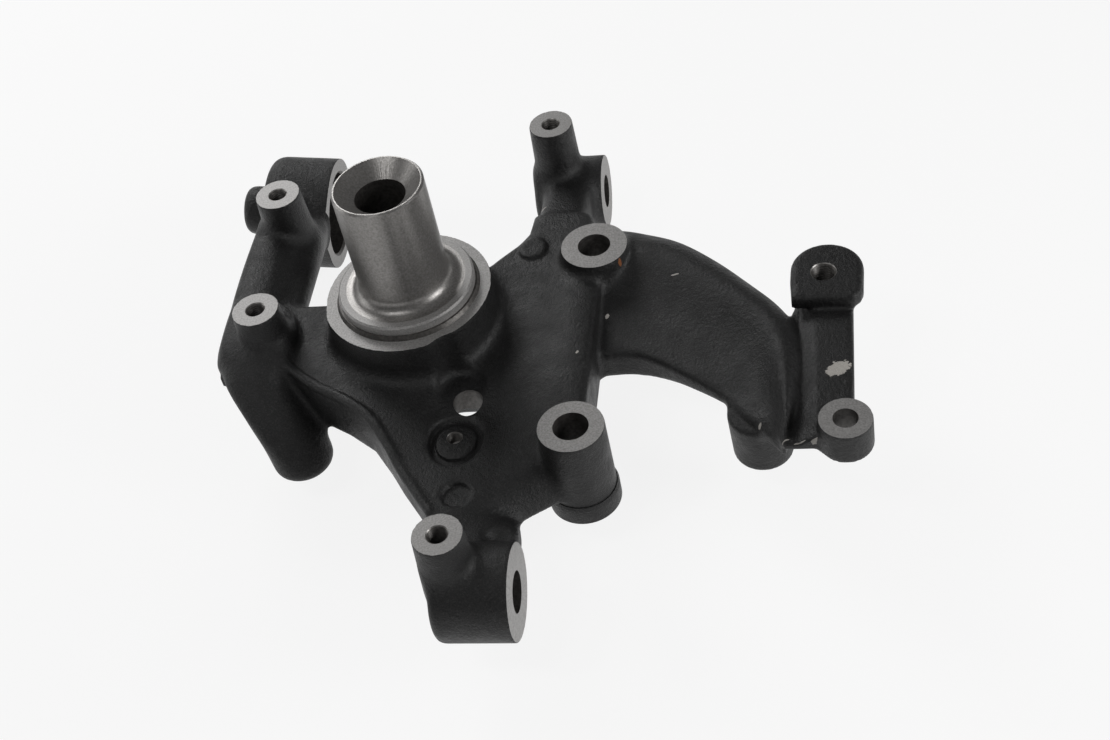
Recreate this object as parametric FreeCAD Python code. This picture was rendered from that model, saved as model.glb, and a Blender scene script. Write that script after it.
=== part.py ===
import FreeCAD, Part
import math
import os

os.makedirs("parts", exist_ok=True)
V = FreeCAD.Vector

# A cast steering knuckle: one iron casting with machined faces and bores.
# Origin on the spindle axis, in the plane of the shoulder's top.
# +Z runs up the spindle, +X along the cross bores, +Y away from the front arm.

# Heights of the machined planes
SHOULDER_Z = 0.0
PAD_Z = 0.0
FLANGE_Z = -7.5
BOLT_Z = -17.0
LUG_T_Z = -15.5
FOOT_Z = -72.5
SPINDLE_TOP = 68.0

# Spindle, shoulder, flange and the cast hub under them
SPINDLE_R = 25.0
SPINDLE_CHAMFER = 1.0
BORE_R = 13.9
MOUTH_R = SPINDLE_R - 1.7
MOUTH_DEPTH = 7.5
SHOULDER_R = 38.0
GROOVE_R = 40.5
FLANGE_R = 47.0
NECK_FILLET = 7.0
HUB_BOTTOM = -60.0

# Cast walls
WALL_BOTTOM = -57.0
WEB_BOTTOM = -48.5
RIM_HALF = 4.0

# The two cross axes along X, behind and in front of the spindle
REAR_Y = 133.0
REAR_Z = -54.5
FRONT_Y = -179.5
FRONT_Z = -44.8

# Tapped pads (x, y, outer radius)
TAP_R = 5.2
TAP_DEPTH = 26.0
PAD_A = (-93.2, 81.1, 13.3)
PAD_B = (-83.3, -18.1, 13.2)
PAD_C = (67.3, REAR_Y - 0.5, 13.0)
PAD_E = (46.0, FRONT_Y + 0.9, 12.6)

# Bolt bosses on a square grid (x, y, outer radius, bore radius)
GRID_X = 99.4
GRID_STEP = 137.4
GRID_Y = -97.0
BOSS_D = (GRID_X, GRID_Y + GRID_STEP, 18.9, 9.3)
BOSS_F = (GRID_X, GRID_Y, 17.6, 9.4)
BOSS_R = (GRID_X + GRID_STEP, GRID_Y, 13.9, 6.4)
COLLAR_F = (19.3, 6.0)
BOSS_R_DEPTH = 18.5

# Feet: x, common y, radius at the bottom, draft per millimetre
FOOT_Y = -67.5
FOOT_L_X = -64.3
FOOT_R_X = 192.9
FOOT_R = 15.9
FOOT_DRAFT = 0.09

# Cross-bored lugs (start, end, outer radius, bore radius)
LUG_L = (-123.6, -80.6, 35.0, 26.0)
LUG_L_SHOULDER = -104.0
NUB_L = (-140.6, 15.5)
LEAN_L = 7.0
LEAN_L_X = -130.0
LUG_C = (52.0, 93.9, 22.3, 10.0)
LUG_E = (38.5, 76.8, 24.7, 10.5)

# Holes through the web
DOWEL = (36.4, -58.8, 8.2)
TAP_S = (32.5, -83.4, 4.3)
PAD_S_Z = -37.2

# Tapped lug at the end of the right arm
TAP_T = (227.2, 8.0, 6.6)

# Points round each level curve of the left leg, and how far each drill runs past its wall
LEG_POINTS = 8
OVERRUN = 12.0


def ring(points):
    # A closed wire in plan through (x, y, corner radius) points.
    n = len(points)
    cuts = []
    for i in range(n):
        p = V(points[i][0], points[i][1], 0)
        a = V(points[i - 1][0], points[i - 1][1], 0)
        b = V(points[(i + 1) % n][0], points[(i + 1) % n][1], 0)
        u = (a - p).normalize()
        w = (b - p).normalize()
        half = math.acos(max(-1.0, min(1.0, u.dot(w)))) / 2.0
        r = points[i][2]
        d = r / math.tan(half)
        m = (u + w).normalize()
        mid = p + m * (r / math.sin(half) - r)
        cuts.append((p + u * d, mid, p + w * d))
    edges = []
    for i in range(n):
        s, mid, e = cuts[i]
        edges.append(Part.Arc(s, mid, e).toShape())
        nxt = cuts[(i + 1) % n][0]
        if (nxt - e).Length > 1e-6:
            edges.append(Part.makeLine(e, nxt))
    return Part.Wire(edges)


def prism(points, z0, z1):
    wire = ring(points)
    wire.translate(V(0, 0, z0))
    return Part.Face(wire).extrude(V(0, 0, z1 - z0))


def cone(x, y, z0, r0, z1, r1):
    if abs(r0 - r1) < 1e-6:
        return Part.makeCylinder(r0, z1 - z0, V(x, y, z0))
    return Part.makeCone(r0, r1, z1 - z0, V(x, y, z0))


def boss(x, y, z0, z1, r1, draft, flare, flare_r):
    # A drafted round boss whose foot flares out to meet the casting.
    zf = z0 + flare
    rf = r1 + draft * (z1 - zf)
    pts = [V(0, 0, z0), V(rf + flare_r, 0, z0), V(rf, 0, zf), V(r1, 0, z1), V(0, 0, z1), V(0, 0, z0)]
    s = Part.Face(Part.makePolygon(pts)).revolve(V(0, 0, 0), V(0, 0, 1), 360)
    s.translate(V(x, y, 0))
    return s


def rod(x0, x1, y, z, r, edge=0.0):
    # A round bar along X; its start has a rounded edge.
    s = Part.makeCylinder(r, x1 - x0, V(x0, y, z), V(1, 0, 0))
    if edge > 0:
        rims = [e for e in s.Edges if e.Closed and abs(e.CenterOfMass.x - x0) < 1e-3]
        s = s.makeChamfer(edge, rims)
    return s


def leaned(s):
    # The left lug's axis leans down to the right, in the plane of the rear axis.
    s.rotate(V(LEAN_L_X, REAR_Y, REAR_Z), V(0, 1, 0), LEAN_L)
    return s


def section(points, shares, bottom):
    # An upright outline: two walls, two straight shoulders and a smooth crown between them.
    a = V(points[0].x, points[0].y, bottom)
    b = V(points[-1].x, points[-1].y, bottom)
    crown = Part.BSplineCurve()
    crown.interpolate(Points=points[1:-1], Parameters=shares[1:-1])
    left = [Part.makeLine(a, points[0]), Part.makeLine(points[0], points[1])]
    right = [Part.makeLine(points[-2], points[-1]), Part.makeLine(points[-1], b), Part.makeLine(b, a)]
    return Part.Wire(left + [crown.toShape()] + right)


def slab(xs, bottom, rows):
    # A body whose top follows smooth rows across it, run straight from row to row.
    wires = []
    for y, zs in rows:
        points = [V(x, y, z) for x, z in zip(xs, zs)]
        top = Part.BSplineCurve()
        top.interpolate(Points=points, Parameters=[float(x) for x in xs])
        a = V(xs[0], y, bottom)
        b = V(xs[-1], y, bottom)
        wires.append(Part.Wire([top.toShape(), Part.makeLine(points[-1], b), Part.makeLine(b, a),
                                Part.makeLine(a, points[0])]))
    return Part.makeLoft(wires, True, True)


def beam(shares, stations, straight=True):
    # A body through upright sections; each runs in plan from its front to its back point.
    wires = []
    for front, back, bottom, zs in stations:
        f = V(front[0], front[1], 0)
        d = V(back[0], back[1], 0) - f
        wires.append(section([f + d * t + V(0, 0, z) for t, z in zip(shares, zs)], shares, bottom))
    return Part.makeLoft(wires, True, straight)


def stack(stations):
    # A body through level closed curves: centre, half sizes and squareness.
    wires = []
    for x, y, z, a, b, k in stations:
        pts = []
        for i in range(LEG_POINTS):
            c = math.cos(2 * math.pi * i / LEG_POINTS)
            s = math.sin(2 * math.pi * i / LEG_POINTS)
            pts.append(V(x + math.copysign(abs(c) ** k, c) * a, y + math.copysign(abs(s) ** k, s) * b, z))
        curve = Part.BSplineCurve()
        shares = [i / LEG_POINTS for i in range(LEG_POINTS + 1)]
        curve.interpolate(Points=pts, PeriodicFlag=True, Parameters=shares)
        wires.append(Part.Wire([curve.toShape()]))
    return Part.makeLoft(wires, True, True)


# Spindle, shoulder and flange in one turned profile, on the cast hub
fr = NECK_FILLET
lean = fr * math.sin(math.pi / 4)
neck = Part.Arc(V(SPINDLE_R + fr, 0, SHOULDER_Z), V(SPINDLE_R + fr - lean, 0, SHOULDER_Z + fr - lean),
                V(SPINDLE_R, 0, SHOULDER_Z + fr))
outline = [
    V(SPINDLE_R, 0, SHOULDER_Z + fr),
    V(SPINDLE_R, 0, SPINDLE_TOP - SPINDLE_CHAMFER),
    V(SPINDLE_R - SPINDLE_CHAMFER, 0, SPINDLE_TOP),
    V(MOUTH_R, 0, SPINDLE_TOP),
    V(BORE_R, 0, SPINDLE_TOP - MOUTH_DEPTH),
    V(BORE_R, 0, HUB_BOTTOM),
    V(FLANGE_R + 1, 0, HUB_BOTTOM),
    V(FLANGE_R + 7, 0, -42),
    V(FLANGE_R + 1, 0, -24),
    V(FLANGE_R - 0.8, 0, FLANGE_Z - 3),
    V(FLANGE_R, 0, FLANGE_Z - 2),
    V(FLANGE_R, 0, FLANGE_Z),
    V(GROOVE_R, 0, FLANGE_Z),
    V(SHOULDER_R, 0, SHOULDER_Z - 5.0),
    V(SHOULDER_R, 0, SHOULDER_Z - 1.0),
    V(SHOULDER_R - 1.0, 0, SHOULDER_Z),
    V(SPINDLE_R + fr, 0, SHOULDER_Z),
]
edges = [Part.makeLine(outline[i], outline[i + 1]) for i in range(len(outline) - 1)]
hub = Part.Face(Part.Wire(edges + [neck.toBSpline().toShape()])).revolve(V(0, 0, 0), V(0, 0, 1), 360)

# Body plate: its top sweeps from the left plate through a valley up to the right ridge
xs = (-80, -45, -15, 8, 35, 60, 80, 94, 108)
rows = [
    (93, (-30, -30, -30, -30, -29, -29, -28, -29, -36)),
    (34, (-28, -28, -28, -28, -27, -25, -24, -24, -31)),
    (0, (-28, -28, -28, -29, -33, -29, -25, -24, -32)),
    (-40, (-28, -28, -29, -35, -40, -35, -27, -25, -33)),
    (-85, (-28, -28, -29, -36, -38, -36, -29, -27, -34)),
    (-108, (-31, -31, -32, -37, -38, -38, -34, -34, -40)),
    (-126, (-38, -38, -38, -38, -38, -42, -48, -51, -52)),
    (-170, (-40, -40, -40, -40, -40, -43, -48, -52, -53)),
]
body = slab(xs, WALL_BOTTOM, rows)
wall_x = GRID_X + 3.6
plan = prism([
    (-74, 14, 3), (16, 14, 3), (39, 41, 8), (59, 64, 6), (60, 80, 3), (92, 80, 3), (wall_x + 1, 50, 3),
    (wall_x, -20, 3), (wall_x, GRID_Y - 11, 6), (88, GRID_Y - 20, 8), (71, -131, 9), (68, FRONT_Y + 14.5, 3),
    (35, FRONT_Y + 14.5, 3), (24.5, -134, 12), (6, -108.3, 8), (-2.6, -94.8, 8), (-15.8, -76.7, 8),
    (-32.8, -64, 8), (-50, -54, 8), (-74, -35, 4),
], WALL_BOTTOM - 1, -10)
body = body.common(plan)
pocket = prism([
    (8, -50, 8), (60, -50, 8), (90, -40, 8), (90, -75, 8), (62, -105, 8), (30, -118, 8), (2, -80, 8),
], WALL_BOTTOM - 1, WEB_BOTTOM)
body = body.cut(pocket)

# Rim along the left and front edge of the plate
rim_line = [(-72, -33), (-50, -49.5), (-31.5, -64), (-16, -79), (-5, -93), (6.5, -107.5), (25, -135)]
rim_z = [-25.5, -25.5, -25.5, -28, -33, -36, -38]
sections = []
for i in range(len(rim_line)):
    p = V(rim_line[max(i - 1, 0)][0], rim_line[max(i - 1, 0)][1], 0)
    q = V(rim_line[min(i + 1, len(rim_line) - 1)][0], rim_line[min(i + 1, len(rim_line) - 1)][1], 0)
    side = V(p.y - q.y, q.x - p.x, 0).normalize() * RIM_HALF
    c = V(rim_line[i][0], rim_line[i][1], 0)
    foot_line = V(0, 0, -45)
    crest = V(0, 0, rim_z[i])
    sections.append(Part.makePolygon([c + side + foot_line, c - side + foot_line, c - side * 0.6 + crest,
                                      c + side * 0.6 + crest, c + side + foot_line]))
rim = Part.makeLoft(sections, True, True)

# Arm to the rear lug
arm_c = beam((0, 0.06, 0.5, 0.88, 1), [
    ((58.5, 60), (92, 60), -57, (-32, -27, -25, -28, -33)),
    ((59.5, REAR_Y - 51), (90, REAR_Y - 51), -58, (-36, -31, -29, -32, -37)),
    ((59.5, REAR_Y - 29), (88, REAR_Y - 29), -60, (-38, -33, -31.5, -34, -39)),
    ((57.5, REAR_Y - 7), (88, REAR_Y - 7), -62, (-38, -33.5, -32, -34, -39)),
])
lug_c = rod(LUG_C[0], LUG_C[1], REAR_Y, REAR_Z, LUG_C[2], 1.5)
boss_c = boss(PAD_C[0], PAD_C[1], REAR_Z + 4, PAD_Z, PAD_C[2], 0.03, 18, 3)

# Left arm with its lug and nub, and the bosses on it
crown_l = (-46, -33, -20.5, -20, -27.5, -32)
arm_l = beam((0, 0.03, 0.16, 0.55, 0.9, 1), [
    ((-113, -30), (-68, -30), -52, crown_l),
    ((-116.8, 25), (-68, 25), -52, crown_l),
    ((-116.8, 70), (-70, 70), -56, crown_l),
    ((-115, REAR_Y - 25), (-79, REAR_Y - 25), -66, (-48, -37, -24, -22, -30, -38)),
])
relief = [V(-65, -25, -26), V(-101, -25, -95), V(-40, -25, -95), V(-40, -25, -26), V(-65, -25, -26)]
arm_l = arm_l.cut(Part.Face(Part.makePolygon(relief)).extrude(V(0, REAR_Y + 17, 0)))
lug_l = leaned(rod(LUG_L[0], LUG_L[1], REAR_Y, REAR_Z, LUG_L[2], 3.5))
nub_l = leaned(rod(NUB_L[0], LUG_L[0] + 5, REAR_Y, REAR_Z, NUB_L[1], 2))
boss_a = boss(PAD_A[0], PAD_A[1], -22, PAD_Z, PAD_A[2], 0.05, 10, 3)
boss_b = boss(PAD_B[0], PAD_B[1], -26, PAD_Z, PAD_B[2], 0.05, 10, 4)

# Left leg, from the block under the left pad forward to its foot
leg_l = stack([
    (-86, -14, -21, 21, 26, 0.75),
    (-82, -30, -32, 25.5, 28, 0.85),
    (-72.5, -50, -44, 19.8, 24, 0.9),
    (FOOT_L_X, FOOT_Y, -66, FOOT_R - 1.5, FOOT_R - 1.5, 1.0),
])


def foot(x, top):
    s = cone(x, FOOT_Y, FOOT_Z, FOOT_R, top, FOOT_R + FOOT_DRAFT * (top - FOOT_Z))
    rims = [e for e in s.Edges if e.Closed and abs(e.CenterOfMass.z - FOOT_Z) < 1e-3]
    return s.makeChamfer(1.5, rims)


foot_l = foot(FOOT_L_X, -54)
foot_r = foot(FOOT_R_X, -31)

# Bolt bosses
boss_d = boss(BOSS_D[0], BOSS_D[1], -30, BOLT_Z, BOSS_D[2], 0.03, 6, 3)
boss_f = cone(BOSS_F[0], BOSS_F[1], FOOT_Z, BOSS_F[2], BOLT_Z, BOSS_F[2])
collar_f = cone(BOSS_F[0], BOSS_F[1], FOOT_Z, COLLAR_F[0], FOOT_Z + COLLAR_F[1], COLLAR_F[0])
boss_r = cone(BOSS_R[0], BOSS_R[1], BOLT_Z - BOSS_R_DEPTH, BOSS_R[2], BOLT_Z, BOSS_R[2])

# Front lug and its pad
lug_e = rod(LUG_E[0], LUG_E[1], FRONT_Y, FRONT_Z, LUG_E[2], 3)
boss_e = boss(PAD_E[0], PAD_E[1], FRONT_Z + 7, PAD_Z, PAD_E[2], 0.05, 14, -8)
neck_e = beam((0, 0.15, 0.5, 0.85, 1), [
    ((31, FRONT_Y + 29.5), (70, FRONT_Y + 29.5), -54, (-44, -40, -39, -42, -46)),
    ((42, FRONT_Y + 7.5), (72, FRONT_Y + 7.5), -56, (-38, -33, -31, -33, -38)),
])

# Right arm, sweeping out and forward to its foot
crown = (-42, -39, -31, -22.5, -25.5, -32)
arm_r = beam((0, 0.02, 0.3, 0.8, 0.97, 1), [
    ((97, -26), (99, 64), -57, crown),
    ((125, -29), (126, 60), -56, crown),
    ((137, -32), (147, 51), -53.5, crown),
    ((150, -39.5), (168.5, 33.5), -50.5, crown),
    ((163, -49.5), (189, 12), -49.5, crown),
    ((181, -66), (208, -11), -48, crown),
])
end_x = BOSS_R[0] - 25.8
low = [
    (165, -50), (174, -74), (187, -89), (end_x - 8, -101), (end_x, -101), (end_x + 6, -16), (end_x - 6, -8),
    (178, -20),
]
high = [
    (184, -32), (191, -45), (199, -62), (207, -84), (end_x, -86), (end_x + 2, -20), (end_x - 6, -14),
    (190, -22),
]
flat_low = [V(x, y, -39) for x, y in low]
flat_high = [V(x, y, -20.5) for x, y in high]
ring_low = Part.makePolygon(flat_low + flat_low[:1])
ring_high = Part.makePolygon(flat_high + flat_high[:1])
end_block = Part.makeLoft([ring_low, ring_high], True, True)

# End plate and the tapped lug on it
plate_y = GRID_Y - 5.5
plate_x = BOSS_R[0] + 4.2
tx = TAP_T[0]
ty = TAP_T[1]
end_plate = prism([
    (end_x - 11, GRID_Y + 7, 4), (end_x - 5, plate_y, 3), (plate_x, plate_y, 2), (plate_x + 1.5, ty - 2, 4),
    (tx - 15.5, ty - 6, 3), (end_x - 8, ty - 34, 5),
], BOLT_Z - 17, BOLT_Z - 7)
lug_t = prism([
    (tx - 17.2, ty - 19, 3), (tx + 19.8, ty - 20, 8), (tx + 21.3, ty + 17, 15), (tx + 1.8, ty + 25.5, 16),
    (tx - 18.2, ty + 13.5, 15),
], LUG_T_Z - 10, LUG_T_Z)
boss_t = cone(tx, ty, LUG_T_Z - 20.5, TAP_T[2] + 5.9, LUG_T_Z - 6, TAP_T[2] + 6.4)
rims_t = [e for e in lug_t.Edges if abs(e.CenterOfMass.z - LUG_T_Z) < 1e-3]
lug_t = lug_t.makeChamfer(1.0, rims_t)

# Cast pads on the body
pads = [
    cone(TAP_S[0] + 0.5, TAP_S[1] - 0.5, -46, 16.5, PAD_S_Z, 14.0),
    Part.makeCylinder(8.0, 6, V(62, 48, -29)),
    Part.makeCylinder(7.2, 6, V(39.5, -125, -42)),
]

pieces = [body, rim] + pads
pieces += [arm_c, lug_c, boss_c, arm_l, lug_l, nub_l, boss_a, boss_b, leg_l, foot_l, foot_r]
pieces += [boss_d, boss_f, collar_f, boss_r, lug_e, boss_e, neck_e]
pieces += [arm_r, end_block, end_plate, lug_t, boss_t]
knuckle = hub.fuse(pieces, 0.0)


def drill(x, y, r, top, depth):
    # A drill from just over a machined face down to a depth, or right through.
    return Part.makeCylinder(r, depth + OVERRUN, V(x, y, top - depth))


# Machined bores and tapped holes
through = BOLT_Z - FOOT_Z + OVERRUN
holes = [drill(0, 0, BORE_R, SPINDLE_TOP, SPINDLE_TOP - HUB_BOTTOM + OVERRUN)]
holes.append(Part.makeCone(BORE_R, MOUTH_R, MOUTH_DEPTH, V(0, 0, SPINDLE_TOP - MOUTH_DEPTH)))
for p in (PAD_A, PAD_B, PAD_C, PAD_E):
    holes.append(drill(p[0], p[1], TAP_R, PAD_Z, TAP_DEPTH))
for b in (BOSS_D, BOSS_F, BOSS_R):
    holes.append(drill(b[0], b[1], b[3], BOLT_Z, through))
holes.append(drill(TAP_T[0], TAP_T[1], TAP_T[2], LUG_T_Z, through))
holes.append(drill(DOWEL[0], DOWEL[1], DOWEL[2], BOLT_Z, through))
holes.append(drill(TAP_S[0], TAP_S[1], TAP_S[2], BOLT_Z, through))
for lug, y, z in ((LUG_C, REAR_Y, REAR_Z), (LUG_E, FRONT_Y, FRONT_Z)):
    holes.append(rod(lug[0] - OVERRUN, lug[1] + OVERRUN, y, z, lug[3]))
holes.append(leaned(rod(LUG_L_SHOULDER, LUG_L[1] + OVERRUN, REAR_Y, REAR_Z, LUG_L[3])))
knuckle = knuckle.cut(holes)
knuckle.exportStep("parts/knuckle_casting.step")
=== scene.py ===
import math

import bmesh
import bpy
import numpy as np
from mathutils import Matrix, Vector


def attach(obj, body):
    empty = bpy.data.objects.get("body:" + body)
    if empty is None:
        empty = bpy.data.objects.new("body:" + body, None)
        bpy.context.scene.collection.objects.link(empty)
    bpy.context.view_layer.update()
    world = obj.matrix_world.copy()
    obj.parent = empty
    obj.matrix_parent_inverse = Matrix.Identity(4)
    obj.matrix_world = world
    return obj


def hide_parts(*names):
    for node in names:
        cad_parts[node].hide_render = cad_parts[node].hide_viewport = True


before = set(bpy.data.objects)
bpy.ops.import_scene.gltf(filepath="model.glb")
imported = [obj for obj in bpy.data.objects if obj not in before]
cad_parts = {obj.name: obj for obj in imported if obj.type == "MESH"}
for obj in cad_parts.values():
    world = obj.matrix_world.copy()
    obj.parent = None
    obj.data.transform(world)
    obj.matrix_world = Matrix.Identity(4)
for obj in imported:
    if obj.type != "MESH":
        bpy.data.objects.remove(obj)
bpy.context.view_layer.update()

scene = bpy.context.scene


# The web is the cast plate that ties the hub to the bosses, arms and lugs. The whole body comes from one
# sand mould, so it is grown as one field of distances in millimetres: each form is added with the fillet
# that the mould gives it, and the skin is drawn where the field is zero.
GRID_STEP = 1.25
FIELD_LOW = (-146.13, -207.41, -98.87)
FIELD_HIGH = (254.0, 171.5, 4.0)
FAR_AWAY = 60.0
gx, gy, gz = (np.arange(low, high, GRID_STEP, dtype=np.float32)
              for low, high in zip(FIELD_LOW, FIELD_HIGH))
casting = np.full((len(gx), len(gy), len(gz)), FAR_AWAY, dtype=np.float32)


def soft_min(a, b, width):
    # the lesser of two distances, rounded off where they are nearly equal
    near = np.maximum(width - np.abs(a - b), 0.0) / width
    return np.minimum(a, b) - near * near * width * 0.25


def soft_max(a, b, width):
    return -soft_min(-a, -b, width)


def region(box):
    # the cells of the field round a form's box, with their places along X, Y and Z
    margin = 14.0
    cells = []
    for axis, grid in enumerate((gx, gy, gz)):
        low = np.searchsorted(grid, box[0][axis] - margin)
        high = np.searchsorted(grid, box[1][axis] + margin)
        cells.append(slice(int(low), int(high)))
    x, y, z = (grid[cut] for grid, cut in zip((gx, gy, gz), cells))
    return tuple(cells), x[:, None, None], y[None, :, None], z[None, None, :]


def add(box, shape, fillet):
    cells, x, y, z = region(box)
    casting[cells] = soft_min(casting[cells], shape(x, y, z), fillet)


def carve(box, shape, fillet):
    cells, x, y, z = region(box)
    casting[cells] = soft_max(casting[cells], -shape(x, y, z), fillet)


def outline(points, x, y):
    # distance in plan from a closed outline, less than zero inside it
    best = None
    inside = np.zeros(np.broadcast(x, y).shape, dtype=bool)
    for i in range(len(points)):
        ax, ay = points[i - 1][:2]
        bx, by = points[i][:2]
        ex, ey = bx - ax, by - ay
        t = np.clip(((x - ax) * ex + (y - ay) * ey) / (ex * ex + ey * ey), 0.0, 1.0)
        d = np.hypot(x - ax - t * ex, y - ay - t * ey)
        best = d if best is None else np.minimum(best, d)
        if ay != by:
            inside ^= ((ay > y) != (by > y)) & (x < (bx - ax) * (y - ay) / (by - ay) + ax)
    return np.where(inside, -best, best)


def plate(points, top, bottom, edge=3.0, draft=0.0):
    # an upright-walled body with an outline in plan; its top is a height or a function of x and y
    lowest, highest = -88.0, 2.0
    low = (min(p[0] for p in points), min(p[1] for p in points), lowest)
    high = (max(p[0] for p in points), max(p[1] for p in points), highest)

    def shape(x, y, z):
        t = top(x, y) if callable(top) else top
        d = outline(points, x, y) - draft * (t - z)
        return soft_max(soft_max(d, z - t, 2 * edge), bottom - z, 2 * edge)
    return (low, high), shape


def rolling_top(xs, ys, rows):
    # a smooth height over a coarse grid of heights
    nx, ny, blur, spread = 160, 200, 12, 5.0
    fine_x = np.linspace(xs[0], xs[-1], nx)
    fine_y = np.linspace(ys[0], ys[-1], ny)
    across = np.array([np.interp(fine_x, xs, row) for row in rows])
    grid = np.array([np.interp(fine_y, ys, across[:, j]) for j in range(nx)]).T
    bell = np.exp(-0.5 * (np.arange(-blur, blur + 1) / spread) ** 2)
    bell /= bell.sum()
    grid = np.pad(grid, blur, mode="edge")
    grid = np.apply_along_axis(lambda line: np.convolve(line, bell, "valid"), 0, grid)
    grid = np.apply_along_axis(lambda line: np.convolve(line, bell, "valid"), 1, grid)

    def height(x, y):
        px, py = np.broadcast_arrays(x[:, :, 0], y[:, :, 0])
        i = np.clip((px - xs[0]) / (xs[-1] - xs[0]) * (nx - 1), 0, nx - 1.001)
        j = np.clip((py - ys[0]) / (ys[-1] - ys[0]) * (ny - 1), 0, ny - 1.001)
        i0, j0 = i.astype(int), j.astype(int)
        fi, fj = i - i0, j - j0
        front = grid[j0, i0] * (1 - fi) + grid[j0, i0 + 1] * fi
        back = grid[j0 + 1, i0] * (1 - fi) + grid[j0 + 1, i0 + 1] * fi
        return (front * (1 - fj) + back * fj)[:, :, None].astype(np.float32)
    return height


WEB_BOTTOM = -57.0
WEB_OUTLINE = [
    (-80, 14), (16, 14), (39, 41), (59, 64), (60, 80), (92, 80), (103.6, 50), (103, -20), (103, -108),
    (88, -117), (74, -128), (68, -165), (36, -165), (24.5, -134), (6, -108.3), (-2.6, -94.8), (-15.8, -76.7),
    (-32.8, -64), (-50, -54), (-81.5, -29.5)]
web_top = rolling_top(
    (-80, -45, -15, 8, 35, 60, 80, 94, 108),
    (-170, -126, -108, -85, -67, -48, 0, 40, 85),
    ((-40, -40, -40, -40, -40, -43, -48, -52, -53),
     (-38, -38, -38, -38, -38, -42, -48, -51, -52),
     (-31, -31, -32, -36, -37.5, -37.5, -34, -34, -38),
     (-28, -28, -29, -33, -38, -36, -29, -27, -30),
     (-28, -28, -28, -31.5, -42, -36, -28, -26, -29),
     (-28, -28, -28, -29.5, -34, -31.5, -26.5, -24, -28),
     (-28, -28, -28, -29, -33, -29, -25, -22.5, -27),
     (-28, -28, -28, -28, -26, -25, -24, -22.5, -27),
     (-30, -30, -30, -30, -29, -29, -28, -28, -30)))
add(*plate(WEB_OUTLINE, web_top, WEB_BOTTOM, edge=2.0, draft=0.03), 1.0)

# The web's top falls away to the right of a soft crease, from the sunk pad to the front bolt boss. Below,
# the web is hollowed to a thin floor, as the mould's core leaves it.
CREASE_POINT = (56.0, -123.8, -38.5)
CREASE_NORMAL = (0.403, -0.726, 0.557)
CREASE_FRONT = -136.0


def beyond_crease(x, y, z):
    px, py, pz = CREASE_POINT
    nx, ny, nz = CREASE_NORMAL
    return soft_max(-((x - px) * nx + (y - py) * ny + (z - pz) * nz), CREASE_FRONT - y, 18.0)


HOLLOW_TOP = -48.5
HOLLOW_OUTLINE = [(8, -50), (60, -50), (90, -40), (90, -75), (62, -105), (30, -118), (2, -80)]
carve(((52, -160, -60), (112, -96, -20)), beyond_crease, 5.0)
carve(*plate(HOLLOW_OUTLINE, HOLLOW_TOP, -80.0, edge=3.0), 4.0)


# The rim is a round cast bead along the web's lower left edge, from the left arm down to the front lug.
# It stands flush with the edge and stiffens it.
def smooth(points, n):
    # a path through points (Catmull-Rom), with n samples a span
    p = np.array(points, dtype=float)
    p = np.vstack([2 * p[0] - p[1], p, 2 * p[-1] - p[-2]])
    path = []
    for i in range(1, len(p) - 2):
        for k in range(n):
            t = k / n
            path.append(0.5 * (2 * p[i] + (p[i + 1] - p[i - 1]) * t
                               + (2 * p[i - 1] - 5 * p[i] + 4 * p[i + 1] - p[i + 2]) * t * t
                               + (3 * p[i] - p[i - 1] - 3 * p[i + 1] + p[i + 2]) * t ** 3))
    path.append(p[-2])
    return np.array(path)


RIM_RADIUS = 2.6
RIM_CREST = [(-80, -27, -23.5), (-64, -40, -24.5), (-48.7, -52, -24.5), (-31.5, -62, -24.5),
             (-14.1, -75, -26), (-0.6, -93.4, -30.5), (8, -107, -34.5), (26.4, -132.6, -37)]
rim_line = smooth(RIM_CREST, 5)


def rim(x, y, z):
    best = None
    for a, b in zip(rim_line[:-1], rim_line[1:]):
        e = b - a
        px, py, pz = x - a[0], y - a[1], z - (a[2] - RIM_RADIUS)
        t = np.clip((px * e[0] + py * e[1] + pz * e[2]) / (e @ e), 0, 1)
        d = np.sqrt((px - t * e[0]) ** 2 + (py - t * e[1]) ** 2 + (pz - t * e[2]) ** 2) - RIM_RADIUS
        best = d if best is None else np.minimum(best, d)
    return best


add(((-76, -140, -45), (32, -26, -20)), rim, 1.8)


# The pedestal carries the spindle's flange. It tapers a little for the mould, and it is fuller on its
# front left side, where the cast wall stands out past the turned flange.
FLANGE_SEAT_Z = -6.3
PEDESTAL_R = 46.4
PEDESTAL_DRAFT = 0.067
PEDESTAL_SLANT = 1.002
PEDESTAL_FULLER = 1.3


def pedestal(x, y, z):
    # the draft widens the wall downwards, and the slant makes a level distance one across the wall
    turn = np.degrees(np.arctan2(y, x))
    rise = np.clip((turn + 168.0) / 14.0, 0.0, 1.0)
    fall = np.clip((-60.0 - turn) / 6.0, 0.0, 1.0)
    fuller = PEDESTAL_FULLER * rise * fall
    d = (np.hypot(x, y) - PEDESTAL_R - fuller + PEDESTAL_DRAFT * (z - FLANGE_SEAT_Z)) / PEDESTAL_SLANT
    return soft_max(soft_max(d, z - FLANGE_SEAT_Z, 1.2), -60.0 - z, 1.2)


add(((-52, -52, -60), (52, 52, -6)), pedestal, 8.0)

# A pocket cuts the pedestal and the flange's edge above the hole in the web, as room for a tool. It is
# cast, with a rounded floor.
POCKET_X, POCKET_Y, POCKET_R = 31.6, -49.6, 12.9
POCKET_FLOOR = -36.5


def pocket(x, y, z):
    return soft_max(np.hypot(x - POCKET_X, y - POCKET_Y) - POCKET_R, POCKET_FLOOR - z, 5.0)


carve(((15, -68, -44), (46, -36, -20)), pocket, 3.0)


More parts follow.
